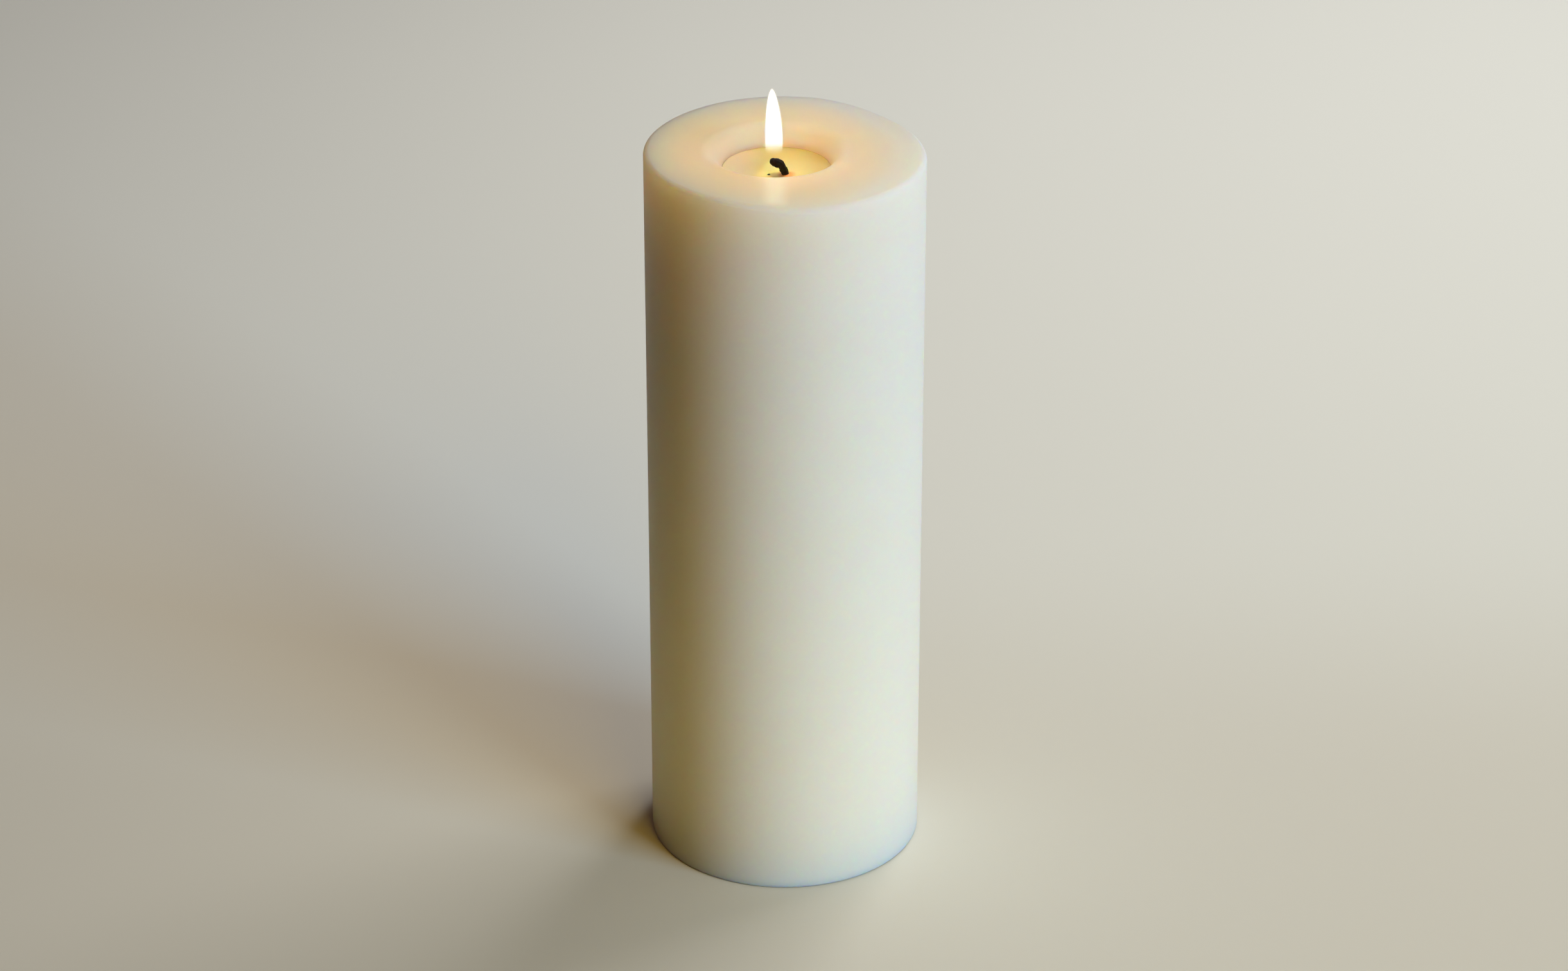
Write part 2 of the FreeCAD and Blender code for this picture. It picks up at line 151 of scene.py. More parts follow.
# The flame: how far it stands and leans to -X, the share of its height at which it is widest, how pointed it is, and
# the heights over its foot between which it turns from clear to bright
FLAME_SHIFT = 0.35 * MM
FLAME_LEAN = 0.6 * MM
FLAME_WIDEST = 0.28
FLAME_POINT = 0.58
FLAME_CLEAR = 5.0 * MM
FLAME_BRIGHT = 13.5 * MM

# Where the flame's light is painted into the wax: the middles of its warm tint, painted flame light and partly wax
# yellowed by heat, and of its painted glow, and the distance that counts as one
TINT_CENTRE = (WELL_CENTRE[0] - 5.0 * MM, WELL_CENTRE[1] - 2.5 * MM, HEIGHT)
GLOW_CENTRE = (WELL_CENTRE[0] - 6.0 * MM, WELL_CENTRE[1] + 1.5 * MM, HEIGHT)
FLAME_LIGHT_REACH = 60 * MM

# Points round the rings
WAX_COLUMNS = 320
POOL_COLUMNS = 160
WICK_COLUMNS = 48
FLAME_COLUMNS = 64
CRUMB_COLUMNS = 20


def closed_mesh(name, rings, ends):
    """A closed mesh from rings of points.

    rings is an array of rings by points by coordinates. Neighbouring rings are joined by four-cornered faces. With
    ends "joined" the last ring runs on into the first, as on a tyre. With ends "capped" each end is closed by a fan
    of three-cornered faces to the middle of its ring. The faces are turned to point outwards, by the sign of the
    volume that they enclose.
    """
    count, across = rings.shape[:2]
    index = np.arange(count * across).reshape(count, across)
    after = np.roll(index, -1, axis=1)
    if ends == "joined":
        near, far = index, np.roll(index, -1, axis=0)
        near_after, far_after = after, np.roll(after, -1, axis=0)
    else:
        near, far = index[:-1], index[1:]
        near_after, far_after = after[:-1], after[1:]
    quads = np.stack([near, near_after, far_after, far], axis=-1).reshape(-1, 4)
    points = rings.reshape(-1, 3)
    fans = np.zeros((0, 3), int)
    if ends == "capped":
        first, last = len(points), len(points) + 1
        points = np.vstack([points, rings[0].mean(0), rings[-1].mean(0)])
        start_fan = np.stack([after[0], index[0], np.full(across, first)], axis=-1)
        end_fan = np.stack([index[-1], after[-1], np.full(across, last)], axis=-1)
        fans = np.vstack([start_fan, end_fan])
    if enclosed_volume(points, quads, fans) < 0:
        quads, fans = quads[:, ::-1], fans[:, ::-1]
    mesh = bpy.data.meshes.new(name)
    corners = np.concatenate([quads.ravel(), fans.ravel()]).astype(np.int32)
    totals = np.concatenate([np.full(len(quads), 4), np.full(len(fans), 3)]).astype(np.int32)
    mesh.vertices.add(len(points))
    mesh.vertices.foreach_set("co", points.astype(np.float32).ravel())
    mesh.loops.add(len(corners))
    mesh.loops.foreach_set("vertex_index", corners)
    mesh.polygons.add(len(totals))
    mesh.polygons.foreach_set("loop_start", np.concatenate([[0], np.cumsum(totals)[:-1]]).astype(np.int32))
    mesh.polygons.foreach_set("loop_total", totals)
    mesh.polygons.foreach_set("use_smooth", np.ones(len(totals), bool))
    mesh.update(calc_edges=True)
    mesh.validate()
    piece = bpy.data.objects.new(name, mesh)
    bpy.context.scene.collection.objects.link(piece)
    return piece


def enclosed_volume(points, quads, fans):
    """The volume inside the faces: the sum over their triangles of a sixth of the corners' triple product."""
    triangles = np.vstack([quads[:, [0, 1, 2]], quads[:, [0, 2, 3]], fans])
    a, b, c = (points[triangles[:, corner]] for corner in range(3))
    return np.einsum("ij,ij->i", a, np.cross(b, c)).sum() / 6


def angles(columns):
    """Evenly spaced angles round a ring."""
    return np.arange(columns) * TURN / columns


def span(start, end, steps):
    """Pairs that go evenly from one radius and height to another, without the last one."""
    share = np.arange(steps)[:, None] / steps
    return np.array(start) * (1 - share) + np.array(end) * share


def bend(centre, radius, first, last, steps):
    """Pairs along an arc: its centre, and the angles in quarter turns, without the last one."""
    angle = (first + (last - first) * np.arange(steps) / steps) * TURN / 4
    return np.stack([centre[0] + radius * np.cos(angle), centre[1] + radius * np.sin(angle)], axis=1)


def marked(pairs, start, end, whole=False):
    """Pairs with a third number, the mark of where a ring's centre lies, which goes evenly from start to end.

    It stops one step short of the end, as pairs without their last one do, unless the stretch is whole.
    """
    return np.column_stack([pairs, np.linspace(start, end, len(pairs), endpoint=whole)])


def waves(angle, height, seed, counts, tall):
    """Gentle unevenness between -1 and 1: a sum of waves round the axis that drift with height.

    Each wave has a whole count round the axis, a phase and a slant of its own, drawn from the seed, and the sum is
    divided by the number of waves.
    """
    draw = np.random.default_rng(seed)
    total = np.zeros(np.broadcast(angle, height).shape)
    for count in counts:
        phase = draw.uniform(0, TURN)
        slant = draw.uniform(-1, 1) * TURN / tall
        total = total + np.sin(count * angle + phase + slant * height)
    return total / len(counts)


def smooth_step(low, high, value):
    """0 below low, 1 above high, and a smooth rise between them. The first may be the greater."""
    share = np.clip((value - low) / (high - low), 0, 1)
    return share * share * (3 - 2 * share)


def well_widening(angle, height):
    """How much wider the well is at an angle and height than its plain form: none at the floor, most at the mouth."""
    uneven = waves(angle, height, 11, (2, 3, 5, 7), 40 * MM)
    return 1 + WELL_UNEVENNESS * uneven * smooth_step(BOWL_FLOOR, POOL_LEVEL, height)


def rings_from(profile, centres, columns):
    """Rings from a profile: each has a radius, a height and a centre, and its points go round at even angles."""
    angle = angles(columns)[None, :]
    across = centres[:, 0, None] + profile[:, 0, None] * np.cos(angle)
    along = centres[:, 1, None] + profile[:, 0, None] * np.sin(angle)
    up = np.broadcast_to(profile[:, 1, None], across.shape)
    return np.stack([across, along, up], axis=-1)


def turned(outline, places, columns):
    """An outline turned into rings, and the rings' centres, which lie between the places that the marks count."""
    stops = np.arange(len(places), dtype=float)
    centres = np.stack([np.interp(outline[:, 2], stops, np.array(places)[:, side]) for side in range(2)], axis=1)
    return rings_from(outline[:, :2], centres, columns), centres[:, None, :]


def widen(rings, middle, factor):
    """Moves each point away from its ring's middle, so that its distance from there is multiplied by a factor."""
    rings[:, :, :2] = middle + (rings[:, :, :2] - middle) * factor[:, :, None]


def wax_profile():
    """The casting's outline from the bore out over the well, the top, the side, the base and the tab's seat.

    Each row is a radius, a height, and how far the ring's centre has gone from the wick (0) to the well (1) to the
    casting's axis (2).
    """
    lip_middle = (WELL_RADIUS + LIP_ROUNDING, HEIGHT - LIP_ROUNDING)
    rim_middle = (RADIUS - RIM_ROUNDING, HEIGHT - RIM_ROUNDING)
    base_middle = (RADIUS - BASE_ROUNDING, BASE_ROUNDING)
    neck = WICK_RADIUS + TAB_SHEET
    seat = TAB_UNDERSIDE + TAB_SHEET
    return np.vstack([
        marked(span((WICK_RADIUS, TAB_TOP), (WICK_RADIUS, BOWL_FLOOR), 12), 0, 0),
        marked(span((WICK_RADIUS, BOWL_FLOOR), (BOWL_EDGE, BOWL_FLOOR), 14), 0, 1),
        marked(span((BOWL_EDGE, BOWL_FLOOR), WALL_FOOT, 8), 1, 1),
        marked(span(WALL_FOOT, (WELL_RADIUS, lip_middle[1]), 6), 1, 1),
        marked(bend(lip_middle, LIP_ROUNDING, 2, 1, 30), 1, 1),
        marked(span((lip_middle[0], HEIGHT), (rim_middle[0], HEIGHT), 30), 1, 2),
        marked(bend(rim_middle, RIM_ROUNDING, 1, 0, 16), 2, 2),
        marked(span((RADIUS, rim_middle[1]), (RADIUS, BASE_ROUNDING), 80), 2, 2),
        marked(bend(base_middle, BASE_ROUNDING, 0, -1, 8), 2, 2),
        marked(span((base_middle[0], 0), (TAB_RADIUS, 0), 20), 2, 0),
        marked(span((TAB_RADIUS, 0), (TAB_RADIUS, seat), 2), 0, 0),
        marked(span((TAB_RADIUS, seat), (neck, seat), 6), 0, 0),
        marked(span((neck, seat), (neck, TAB_TOP), 3), 0, 0),
        marked(span((neck, TAB_TOP), (WICK_RADIUS, TAB_TOP), 2), 0, 0),
    ])


def crown(rings):
    """How far each point sinks below a flat top.

    It grows as the square of the distance out from where the crown starts, to the rim. It is whole round the heading
    at which the rim has sunk, and there is none on the far side from it. It fades out down the upper side.
    """
    out = np.hypot(rings[:, :, 0], rings[:, :, 1])
    heading = np.arctan2(rings[:, :, 1], rings[:, :, 0])
    amount = MOST_SINK * smooth_step(*SINK_EDGES, np.cos(heading - SINK_HEADING))
    share = np.clip((out - CROWN_START) / (RADIUS - CROWN_START), 0, 1) ** 2
    return amount * share * smooth_step(HEIGHT - CROWN_FADE, HEIGHT - RIM_ROUNDING, rings[:, :, 2])


def dish(rings):
    """How far each point sinks towards the well.

    It grows as the square of the way in from where the dish starts, by an amount that goes from the least to the
    most with the cosine of the heading from the well, and it fades out down the well's wall.
    """
    across = rings[:, :, 0] - WELL_CENTRE[0]
    along = rings[:, :, 1] - WELL_CENTRE[1]
    heading = np.arctan2(along, across)
    amount = LEAST_DISH + (MOST_DISH - LEAST_DISH) * (1 + np.cos(heading - DISH_HEADING)) / 2
    share = np.clip((WELL_RADIUS + DISH_REACH - np.hypot(across, along)) / DISH_REACH, 0, 1) ** 2
    return amount * share * smooth_step(POOL_LEVEL, HEIGHT - DISH_WHOLE, rings[:, :, 2])


def make_wax():
    """The casting: its outline turned, with each ring's centre between the wick, the well and the axis.

    The side and the top sink by gentle waves, the mouth of the well is a little uneven, and the top has its crown and
    its dish. The side's waves come in, and the well's go out, where the marks pass from the well (1) to the axis (2).
    """
    outline = wax_profile()
    rings, middle = turned(outline, [WICK_CENTRE, WELL_CENTRE, AXIS], WAX_COLUMNS)
    angle = angles(WAX_COLUMNS)[None, :]
    radius, height, mark = (outline[:, column, None] for column in range(3))

    sunk_side = (waves(angle, height, 3, (1, 2, 3, 4, 6), 190 * MM) + 1) / 2 * SIDE_UNEVENNESS
    shrink = 1 - smooth_step(1.4, 1.9, mark) * smooth_step(0, 12 * MM, height) * sunk_side / RADIUS
    grow = 1 + smooth_step(1.5, 1.0, mark) * (well_widening(angle, height) - 1)
    widen(rings, middle, shrink * grow)

    sunk_top = (waves(angle, radius, 5, (1, 2, 3, 5), 30 * MM) + 1) / 2 * TOP_UNEVENNESS
    at_top = smooth_step(HEIGHT - RIM_ROUNDING, HEIGHT, height)
    rings[:, :, 2] -= at_top * sunk_top + crown(rings) + dish(rings)
    return closed_mesh("cast_wax", rings, "joined")


def pool_profile():
    """The pool's outline: up the wick's hole, over the surface, down the wall, and in along the bowl's floor.

    The surface rises to the wick and to the wall by amounts that fall off exponentially with the distance.
    """
    out = np.linspace(POOL_HOLE, WELL_RADIUS, 60)
    near_wick = np.exp(-np.clip(out - WICK_RADIUS, 0, None) / CREEP_REACH) * POOL_CREEP_AT_WICK
    near_wall = np.exp(-(WELL_RADIUS - out) / CREEP_REACH) * POOL_CREEP_AT_WALL
    surface = np.column_stack([out, POOL_LEVEL + near_wick + near_wall])
    return np.vstack([
        marked(span((POOL_HOLE, BOWL_FLOOR), surface[0], 8), 0, 0),
        marked(surface, 0, 1, whole=True),
        marked(span(surface[-1], WALL_FOOT, 5)[1:], 1, 1),
        marked(span(WALL_FOOT, (BOWL_EDGE, BOWL_FLOOR), 6), 1, 1),
        marked(span((BOWL_EDGE, BOWL_FLOOR), (POOL_HOLE, BOWL_FLOOR), 14), 1, 0),
    ])


def make_pool():
    """The liquid wax: a turned outline that fills the bowl, drawn up a little at the wall and at the wick."""
    outline = pool_profile()
    rings, middle = turned(outline, [WICK_CENTRE, WELL_CENTRE], POOL_COLUMNS)
    height, mark = outline[:, 1, None], outline[:, 2, None]
    widening = well_widening(angles(POOL_COLUMNS)[None, :], height) - 1
    widen(rings, middle, 1 + widening * smooth_step(0.4, 1.0, mark))
    return closed_mesh("liquid_wax", rings, "joined")


def smooth_path(points, steps):
    """A smooth line through points: on each stretch a cubic whose slope at a point is half the step between its
    neighbours."""
    ends = np.vstack([2 * points[0] - points[1], points, 2 * points[-1] - points[-2]])
    share = np.linspace(0, 1, steps, endpoint=False)[None, :, None]
    before, start, end, after = (ends[k:len(ends) - 3 + k][:, None, :] for k in range(4))
    curve = 0.5 * (
        2 * start
        + (end - before) * share
        + (2 * before - 5 * start + 4 * end - after) * share ** 2
        + (3 * start - before - 3 * end + after) * share ** 3
    )
    return np.vstack([curve.reshape(-1, points.shape[1]), points[-1]])


def wick_line():
    """The cord's line: distances out along its heading, heights, and radii. It is straight up to just under the
    pool, and then curls."""
    straight_up = np.linspace(TAB_UNDERSIDE + 0.1 * MM, POOL_LEVEL + CURL_POINTS[0, 1], 300, endpoint=False)
    cord = np.full_like(straight_up, WICK_RADIUS * CORD_SHARE)
    curl = smooth_path(CURL_POINTS, 14)
    curl[:, 1] += POOL_LEVEL
    return np.vstack([np.column_stack([np.zeros_like(straight_up), straight_up, cord]), curl])


def make_wick():
    """The braided cord: a round section carried along its line, with three strands that cross as a braid.

    The radius swells where a strand is on top. The strands' ridges run round the cord as waves whose phase goes
    forwards for one set and backwards for the other, and the higher of the two shows. The charred end is rougher,
    and a round cap closes it.
    """
    line = wick_line()
    heading = np.array([math.cos(CURL_HEADING), math.sin(CURL_HEADING)])
    centre = np.column_stack([WICK_CENTRE + line[:, :1] * heading, line[:, 1]])
    ahead = np.gradient(centre, axis=0)
    ahead /= np.linalg.norm(ahead, axis=1)[:, None]
    side = np.broadcast_to([-heading[1], heading[0], 0.0], ahead.shape)
    over = np.cross(ahead, side)
    travelled = np.concatenate([[0], np.cumsum(np.linalg.norm(np.diff(centre, axis=0), axis=1))])[:, None]

    angle = angles(WICK_COLUMNS)[None, :]
    phase = travelled * TURN / BRAID_PITCH
    braid = np.maximum(np.cos(STRANDS * angle - phase), np.cos(STRANDS * angle + phase))
    above = smooth_step(POOL_LEVEL + 0.3 * MM, POOL_LEVEL + 1.2 * MM, centre[:, 2])[:, None]
    crust = waves(angle, travelled, 23, (1, 2, 3, 4, 6, 9), 1.3 * MM)
    radius = line[:, 2, None] - (RIDGE + above * CHARRED_RIDGE) * (1 - braid) / 2 + above * crust * CRUST
    radius = np.where(above > 0, radius, np.minimum(radius, WICK_RADIUS * LARGEST_SHARE_IN_BORE))

    sideways = np.cos(angle)[:, :, None] * side[:, None, :]
    upwards = np.sin(angle)[:, :, None] * over[:, None, :]
    points = centre[:, None, :] + radius[:, :, None] * (sideways + upwards)

    quarter = np.linspace(0, TURN / 4, 7)[1:-1, None, None]
    bulge = line[-1, 2] * TIP_BULGE
    caps = centre[-1] + (points[-1] - centre[-1]) * np.cos(quarter) + ahead[-1] * bulge * np.sin(quarter)
    return closed_mesh("braided_wick", np.vstack([points, caps]), "capped")


def flame_outline(share):
    """The flame's radius as a share of its greatest, at a share of its height from foot to tip.

    It is a round foot up to the widest place, and above it the upper half of a long ellipse, a little more pointed.
    """
    foot = np.sqrt(np.clip(1 - ((FLAME_WIDEST - share) / FLAME_WIDEST) ** 2, 0, 1))
    top = np.clip(1 - ((share - FLAME_WIDEST) / (1 - FLAME_WIDEST)) ** 2, 0, 1) ** FLAME_POINT
    return np.where(share < FLAME_WIDEST, foot, top)


def make_flame_shell(name, scale, foot, tip):
    """One closed shell of the flame, a turned outline between two shares of its height, leaning a little to -X."""
    share = (1 - np.cos(np.linspace(0, TURN / 2, 90)[1:-1])) / 2
    radius = flame_outline(share) * FLAME_RADIUS * scale
    height = FLAME_LOW[2] + FLAME_HEIGHT * (foot + (tip - foot) * share)
    centres = np.tile(FLAME_MIDDLE, (len(share), 1))
    centres[:, 0] -= FLAME_SHIFT + FLAME_LEAN * smooth_step(0.35, 1.25, share)
    rings = rings_from(np.column_stack([radius, height]), centres, FLAME_COLUMNS)
    return closed_mesh(name, rings, "capped")


def make_crumb():
    """A charred crumb on the pool: a flattened ball whose radius goes up and down round it."""
    lift, angle = np.meshgrid(np.linspace(-TURN / 4, TURN / 4, 14)[1:-1], angles(CRUMB_COLUMNS), indexing="ij")
    lump = CRUMB_SIZE * (1 + CRUMB_UNEVENNESS * waves(angle, lift, 31, (2, 3, 5), TURN))
    ball = np.stack([np.cos(lift) * np.cos(angle), np.cos(lift) * np.sin(angle), np.sin(lift)], axis=-1)
    return closed_mesh("charred_crumb", CRUMB_PLACE + lump[:, :, None] * ball * CRUMB_FORM, "capped")


class Nodes:
    """Short ways to add and join the nodes of a tree."""

    def __init__(self, tree):
        self.tree = tree

    def node(self, kind, **settings):
        """A node of that kind, with its settings and the values of its inputs."""
        made = self.tree.nodes.new("ShaderNode" + kind)
        for key, value in settings.items():
            if hasattr(made, key):
                setattr(made, key, value)
            else:
                made.inputs[key.replace("_", " ")].default_value = value
        return made

    def join(self, source, target):
        """Links an output to an input."""
        self.tree.links.new(source, target)

    def fill(self, socket, value):
        """Gives an input a value: an output, a number, or a colour of three."""
        if isinstance(value, bpy.types.NodeSocket):
            self.join(value, socket)
        elif isinstance(value, tuple):
            socket.default_value = (*value, 1.0)
        else:
            socket.default_value = value

    def parts(self, vector):
        """The X, Y and Z of a vector."""
        made = self.node("SeparateXYZ")
        self.join(vector, made.inputs["Vector"])
        return made.outputs

    def noise(self, coordinates, scale, detail, roughness):
        """A noise of that scale on the coordinates, from 0 to 1."""
        made = self.node("TexNoise", Scale=scale, Detail=detail, Roughness=roughness)
        self.join(coordinates, made.inputs["Vector"])
        return made.outputs["Fac"]

    def ramp(self, value, *stops):
        """Colours along a value: each stop is a place and a colour."""
        made = self.node("ValToRGB")
        elements = made.color_ramp.elements
        while len(elements) < len(stops):
            elements.new(0.5)
        for element, (place, colour) in zip(elements, stops):
            element.position = place
            element.color = (*colour, 1.0)
        self.join(value, made.inputs["Fac"])
        return made.outputs["Color"]

    def rise(self, value, low, high):
        """0 at one value and 1 at another, with a smooth rise between them. The first may be the greater."""
        made = self.node("MapRange", interpolation_type="SMOOTHSTEP", From_Min=low, From_Max=high)
        self.join(value, made.inputs["Value"])
        return made.outputs["Result"]

    def length_of(self, vector, scale):
        """The length of a vector whose parts are scaled first."""
        scaled = self.node("VectorMath", operation="MULTIPLY")
        self.join(vector, scaled.inputs[0])
        scaled.inputs[1].default_value = scale
        made = self.node("VectorMath", operation="LENGTH")
        self.join(scaled.outputs["Vector"], made.inputs[0])
        return made.outputs["Value"]

    def distance(self, place, centre, scale):
        """The length of the way from a centre to a place, with its parts scaled first."""
        offset = self.node("VectorMath", operation="SUBTRACT")
        self.join(place, offset.inputs[0])
        offset.inputs[1].default_value = centre
        return self.length_of(offset.outputs["Vector"], scale)

    def blend(self, share, low, high):
        """One colour at a share of 0 and another at a share of 1. Each is a colour or an output."""
        made = self.node("Mix", data_type="RGBA")
        self.join(share, made.inputs["Factor"])
        sockets = [socket for socket in made.inputs if socket.type == "RGBA"]
        for socket, value in zip(sockets, (low, high)):
            self.fill(socket, value)
        return next(socket for socket in made.outputs if socket.type == "RGBA")

    def math(self, operation, *values):
        """A Math node whose inputs are numbers or outputs."""
        made = self.node("Math", operation=operation)
        for socket, value in zip(made.inputs, values):
            self.fill(socket, value)
        return made.outputs["Value"]

    def scaled(self, value, times, plus):
        """A value times a number, plus another."""
        return self.math("MULTIPLY_ADD", value, times, plus)

    def mix(self, share, low, high, target):
        """One shader at a share of 0 and another at a share of 1, joined to a socket."""
        made = self.node("MixShader")
        for socket, value in zip(made.inputs, (share, low, high)):
            self.join(value, socket)
        self.join(made.outputs["Shader"], target)


class Material(Nodes):
    """A node material with one shader."""

    def __init__(self, name):
        self.material = bpy.data.materials.new(name)
        self.material.use_nodes = True
        super().__init__(self.material.node_tree)
        self.shader = self.tree.nodes["Principled BSDF"]
        self.surface = self.tree.nodes["Material Output"].inputs["Surface"]

    def place(self):
        """The Object coordinates."""
        return self.node("TexCoord").outputs["Object"]

    def set(self, **values):
        """Sets constants on the shader's own sockets."""
        for key, value in values.items():
            self.shader.inputs[key.replace("_", " ")].default_value = value

    def feed(self, name, source):
        """Links an output to one of the shader's own sockets."""
        self.join(source, self.shader.inputs[name])

    def bump(self, height, strength, distance):
        """A Bump node on the shader's Normal."""
        made = self.node("Bump", Strength=strength, Distance=distance)
        self.join(height, made.inputs["Height"])
        self.feed("Normal", made.outputs["Normal"])


def wax_colour(made, where, away, across):
    """The wax's colour: pale and faintly mottled, and the yellower the nearer to the flame, as far as the rim, which
    is painted warm flame light, partly wax yellowed by heat.
    """
    mottling = made.noise(where, 55.0, 4.0, 0.55)
    plain = made.ramp(mottling, (0.3, (0.875, 0.853, 0.79)), (0.7, (0.885, 0.867, 0.81)))
    # Painted warm flame light, partly wax yellowed by heat: yellower towards the flame, fading out before the rim.
    warm = made.ramp(
        away,
        (0.17, (0.88, 0.57, 0.38)),
        (0.25, (0.88, 0.66, 0.45)),
        (0.35, (0.89, 0.71, 0.49)),
        (0.47, (0.89, 0.77, 0.57)),
        (0.58, (0.885, 0.83, 0.71)),
        (0.67, (0.88, 0.86, 0.80)),
    )
    far_off = made.rise(away, 0.57, 0.65)
    at_rim = made.rise(across, RADIUS - 1.3 * MM, RADIUS - 0.1 * MM)
    return made.blend(made.math("MAXIMUM", far_off, at_rim), warm, plain)


def wax_painted_glow(made, where, on_top):
    """Painted glow: emission that stands in for the flame's light that the wax carries.

    It is strongest round the mouth of the well and fades with the distance from the flame's side of the top. There
    is a paler painted streak in front of the well, a painted reflection of the flame on the top.
    """
    # Painted glow: the flame's light as emission, strongest round the well's mouth.
    away = made.distance(where, GLOW_CENTRE, (1 / FLAME_LIGHT_REACH,) * 3)
    glow = made.ramp(
        away,
        (0.18, (0.03, 0.01, 0.0)),
        (0.32, (0.16, 0.10, 0.03)),
        (0.40, (0.13, 0.09, 0.03)),
        (0.53, (0.075, 0.05, 0.02)),
        (0.60, (0.04, 0.03, 0.01)),
        (0.70, (0.018, 0.010, 0.003)),
        (1.0, (0.0, 0.0, 0.0)),
    )
    # Painted reflection: a pale streak of emission in front of the well, where the flame is mirrored on the top.
    parts = made.parts(where)
    beside = made.math("ABSOLUTE", made.math("SUBTRACT", parts["X"], FLAME_MIDDLE[0]))
    in_front = made.rise(parts["Y"], WELL_CENTRE[1] - 14 * MM, WELL_CENTRE[1] - 19 * MM)
    painted_streak = made.math("MULTIPLY", made.rise(beside, 4.5 * MM, 0.5 * MM), in_front)
    return made.blend(made.math("MULTIPLY", on_top, painted_streak), glow, (0.20, 0.17, 0.11))


def wax_roughness(made, where, on_top):
    """A soft shine on the side, and a slightly smoother one on the top, which has been warm."""
    shine = made.noise(where, 120.0, 3.0, 0.5)
    side = made.scaled(shine, 0.14, 0.42)
    top = made.scaled(shine, 0.05, 0.35)
    return made.math("ADD", side, made.math("MULTIPLY", on_top, made.math("SUBTRACT", top, side)))


def wax_depth(made, where, away):
    """How far light goes into the wax, in metres: farther where the flame has warmed it, and less at the foot."""
    depth = made.scaled(made.rise(away, 1.0, 0.47), 0.013, 0.016)
    above_foot = made.rise(made.parts(where)["Z"], 0.0, 9 * MM)
    return made.math("MULTIPLY", depth, made.scaled(above_foot, 0.6, 0.4))


def wax_finish():
    """Cast wax: milky and translucent, yellowed round the flame by painted flame light and partly by heat, with a
    painted glow there, and with a fine grain that is nearly gone on the top.
    """
    made = Material("cast wax")
    where = made.place()
    away = made.distance(where, TINT_CENTRE, (1 / FLAME_LIGHT_REACH,) * 3)
    across = made.length_of(where, (1, 1, 0))
    inside = made.rise(across, RADIUS - 0.5 * MM, RADIUS - 5 * MM)
    high_up = made.rise(made.parts(where)["Z"], BOWL_FLOOR - 6 * MM, BOWL_FLOOR - 2 * MM)
    on_top = made.math("MULTIPLY", inside, high_up)
    made.feed("Base Color", wax_colour(made, where, away, across))
    made.feed("Emission Color", wax_painted_glow(made, where, on_top))
    made.feed("Roughness", wax_roughness(made, where, on_top))
    made.feed("Subsurface Scale", wax_depth(made, where, away))
    made.set(Subsurface_Weight=1.0, Subsurface_Radius=(1.0, 0.55, 0.20), IOR=1.44, Emission_Strength=1.0)
    grain = made.noise(where, 900.0, 4.0, 0.6)
    made.bump(made.math("MULTIPLY", grain, made.scaled(on_top, -0.85, 1.0)), 0.2, 0.1 * MM)
    return made.material


def pool_finish():
    """Liquid wax: clear yellow, paler where it is shallow, with a wet gloss, and a painted orange glow of the flame's
    light, strongest round the charred wick."""
    made = Material("liquid wax")
    where = made.place()
    drift = made.noise(where, 60.0, 2.0, 0.5)
    yellow = made.ramp(drift, (0.3, (0.98, 0.75, 0.25)), (0.7, (0.98, 0.77, 0.27)))
    shallow = made.rise(made.parts(where)["X"], WELL_CENTRE[0] - 2 * MM, WELL_CENTRE[0] - 11 * MM)
    yellow = made.blend(shallow, yellow, (0.98, 0.79, 0.50))
    # Painted glow: the liquid turns orange close round the wick, where the flame's light falls.
    near_wick = made.rise(made.distance(where, (*WICK_CENTRE, 0.0), (1, 1, 0)), 3.0 * MM, 1.0 * MM)
    made.feed("Base Color", made.blend(near_wick, yellow, (0.86, 0.36, 0.07)))
    made.set(Subsurface_Weight=1.0, Subsurface_Radius=(1.0, 0.6, 0.25), Subsurface_Scale=0.8 * MM, IOR=1.44)
    # Painted glow: a faint orange emission stands in for the flame's light in the liquid.
    made.set(Roughness=0.06, Emission_Color=(1.0, 0.35, 0.0, 1.0), Emission_Strength=0.02)
    return made.material


def char_finish():
    """Charred cotton: dull black crust, a little browner where it is less burnt."""
    made = Material("charred cotton")
    crust = made.noise(made.place(), 1400.0, 5.0, 0.65)
    made.feed("Base Color", made.ramp(crust, (0.35, (0.002, 0.0015, 0.0015)), (0.75, (0.014, 0.009, 0.007))))
    made.set(Roughness=0.85, IOR=1.5)
    made.bump(crust, 0.7, 0.3 * MM)
    return made.material


def tin_finish():
    """Tinplate: bright grey metal with fine drawn scratches."""
    made = Material("tinplate")
    scratches = made.noise(made.place(), 2200.0, 4.0, 0.7)
    made.feed("Base Color", made.ramp(scratches, (0.3, (0.52, 0.52, 0.50)), (0.7, (0.68, 0.68, 0.66))))
    made.feed("Roughness", made.scaled(scratches, 0.25, 0.2))
    made.set(Metallic=1.0)
    made.bump(scratches, 0.1, 0.05 * MM)
    return made.material


def flame_finish(name, colour, strength, solid):
    """Burning gas: it shines, and it fades to nothing towards its foot."""
    made = Material(name)
    up = made.parts(made.place())["Z"]
    bright = made.rise(up, FLAME_LOW[2] + FLAME_CLEAR, FLAME_LOW[2] + FLAME_BRIGHT)
    shining = made.node("Emission", Color=(*colour, 1.0), Strength=strength)
    clear = made.node("BsdfTransparent")
    share = made.math("MULTIPLY", bright, solid)
    made.mix(share, clear.outputs["BSDF"], shining.outputs["Emission"], made.surface)
    return made.material


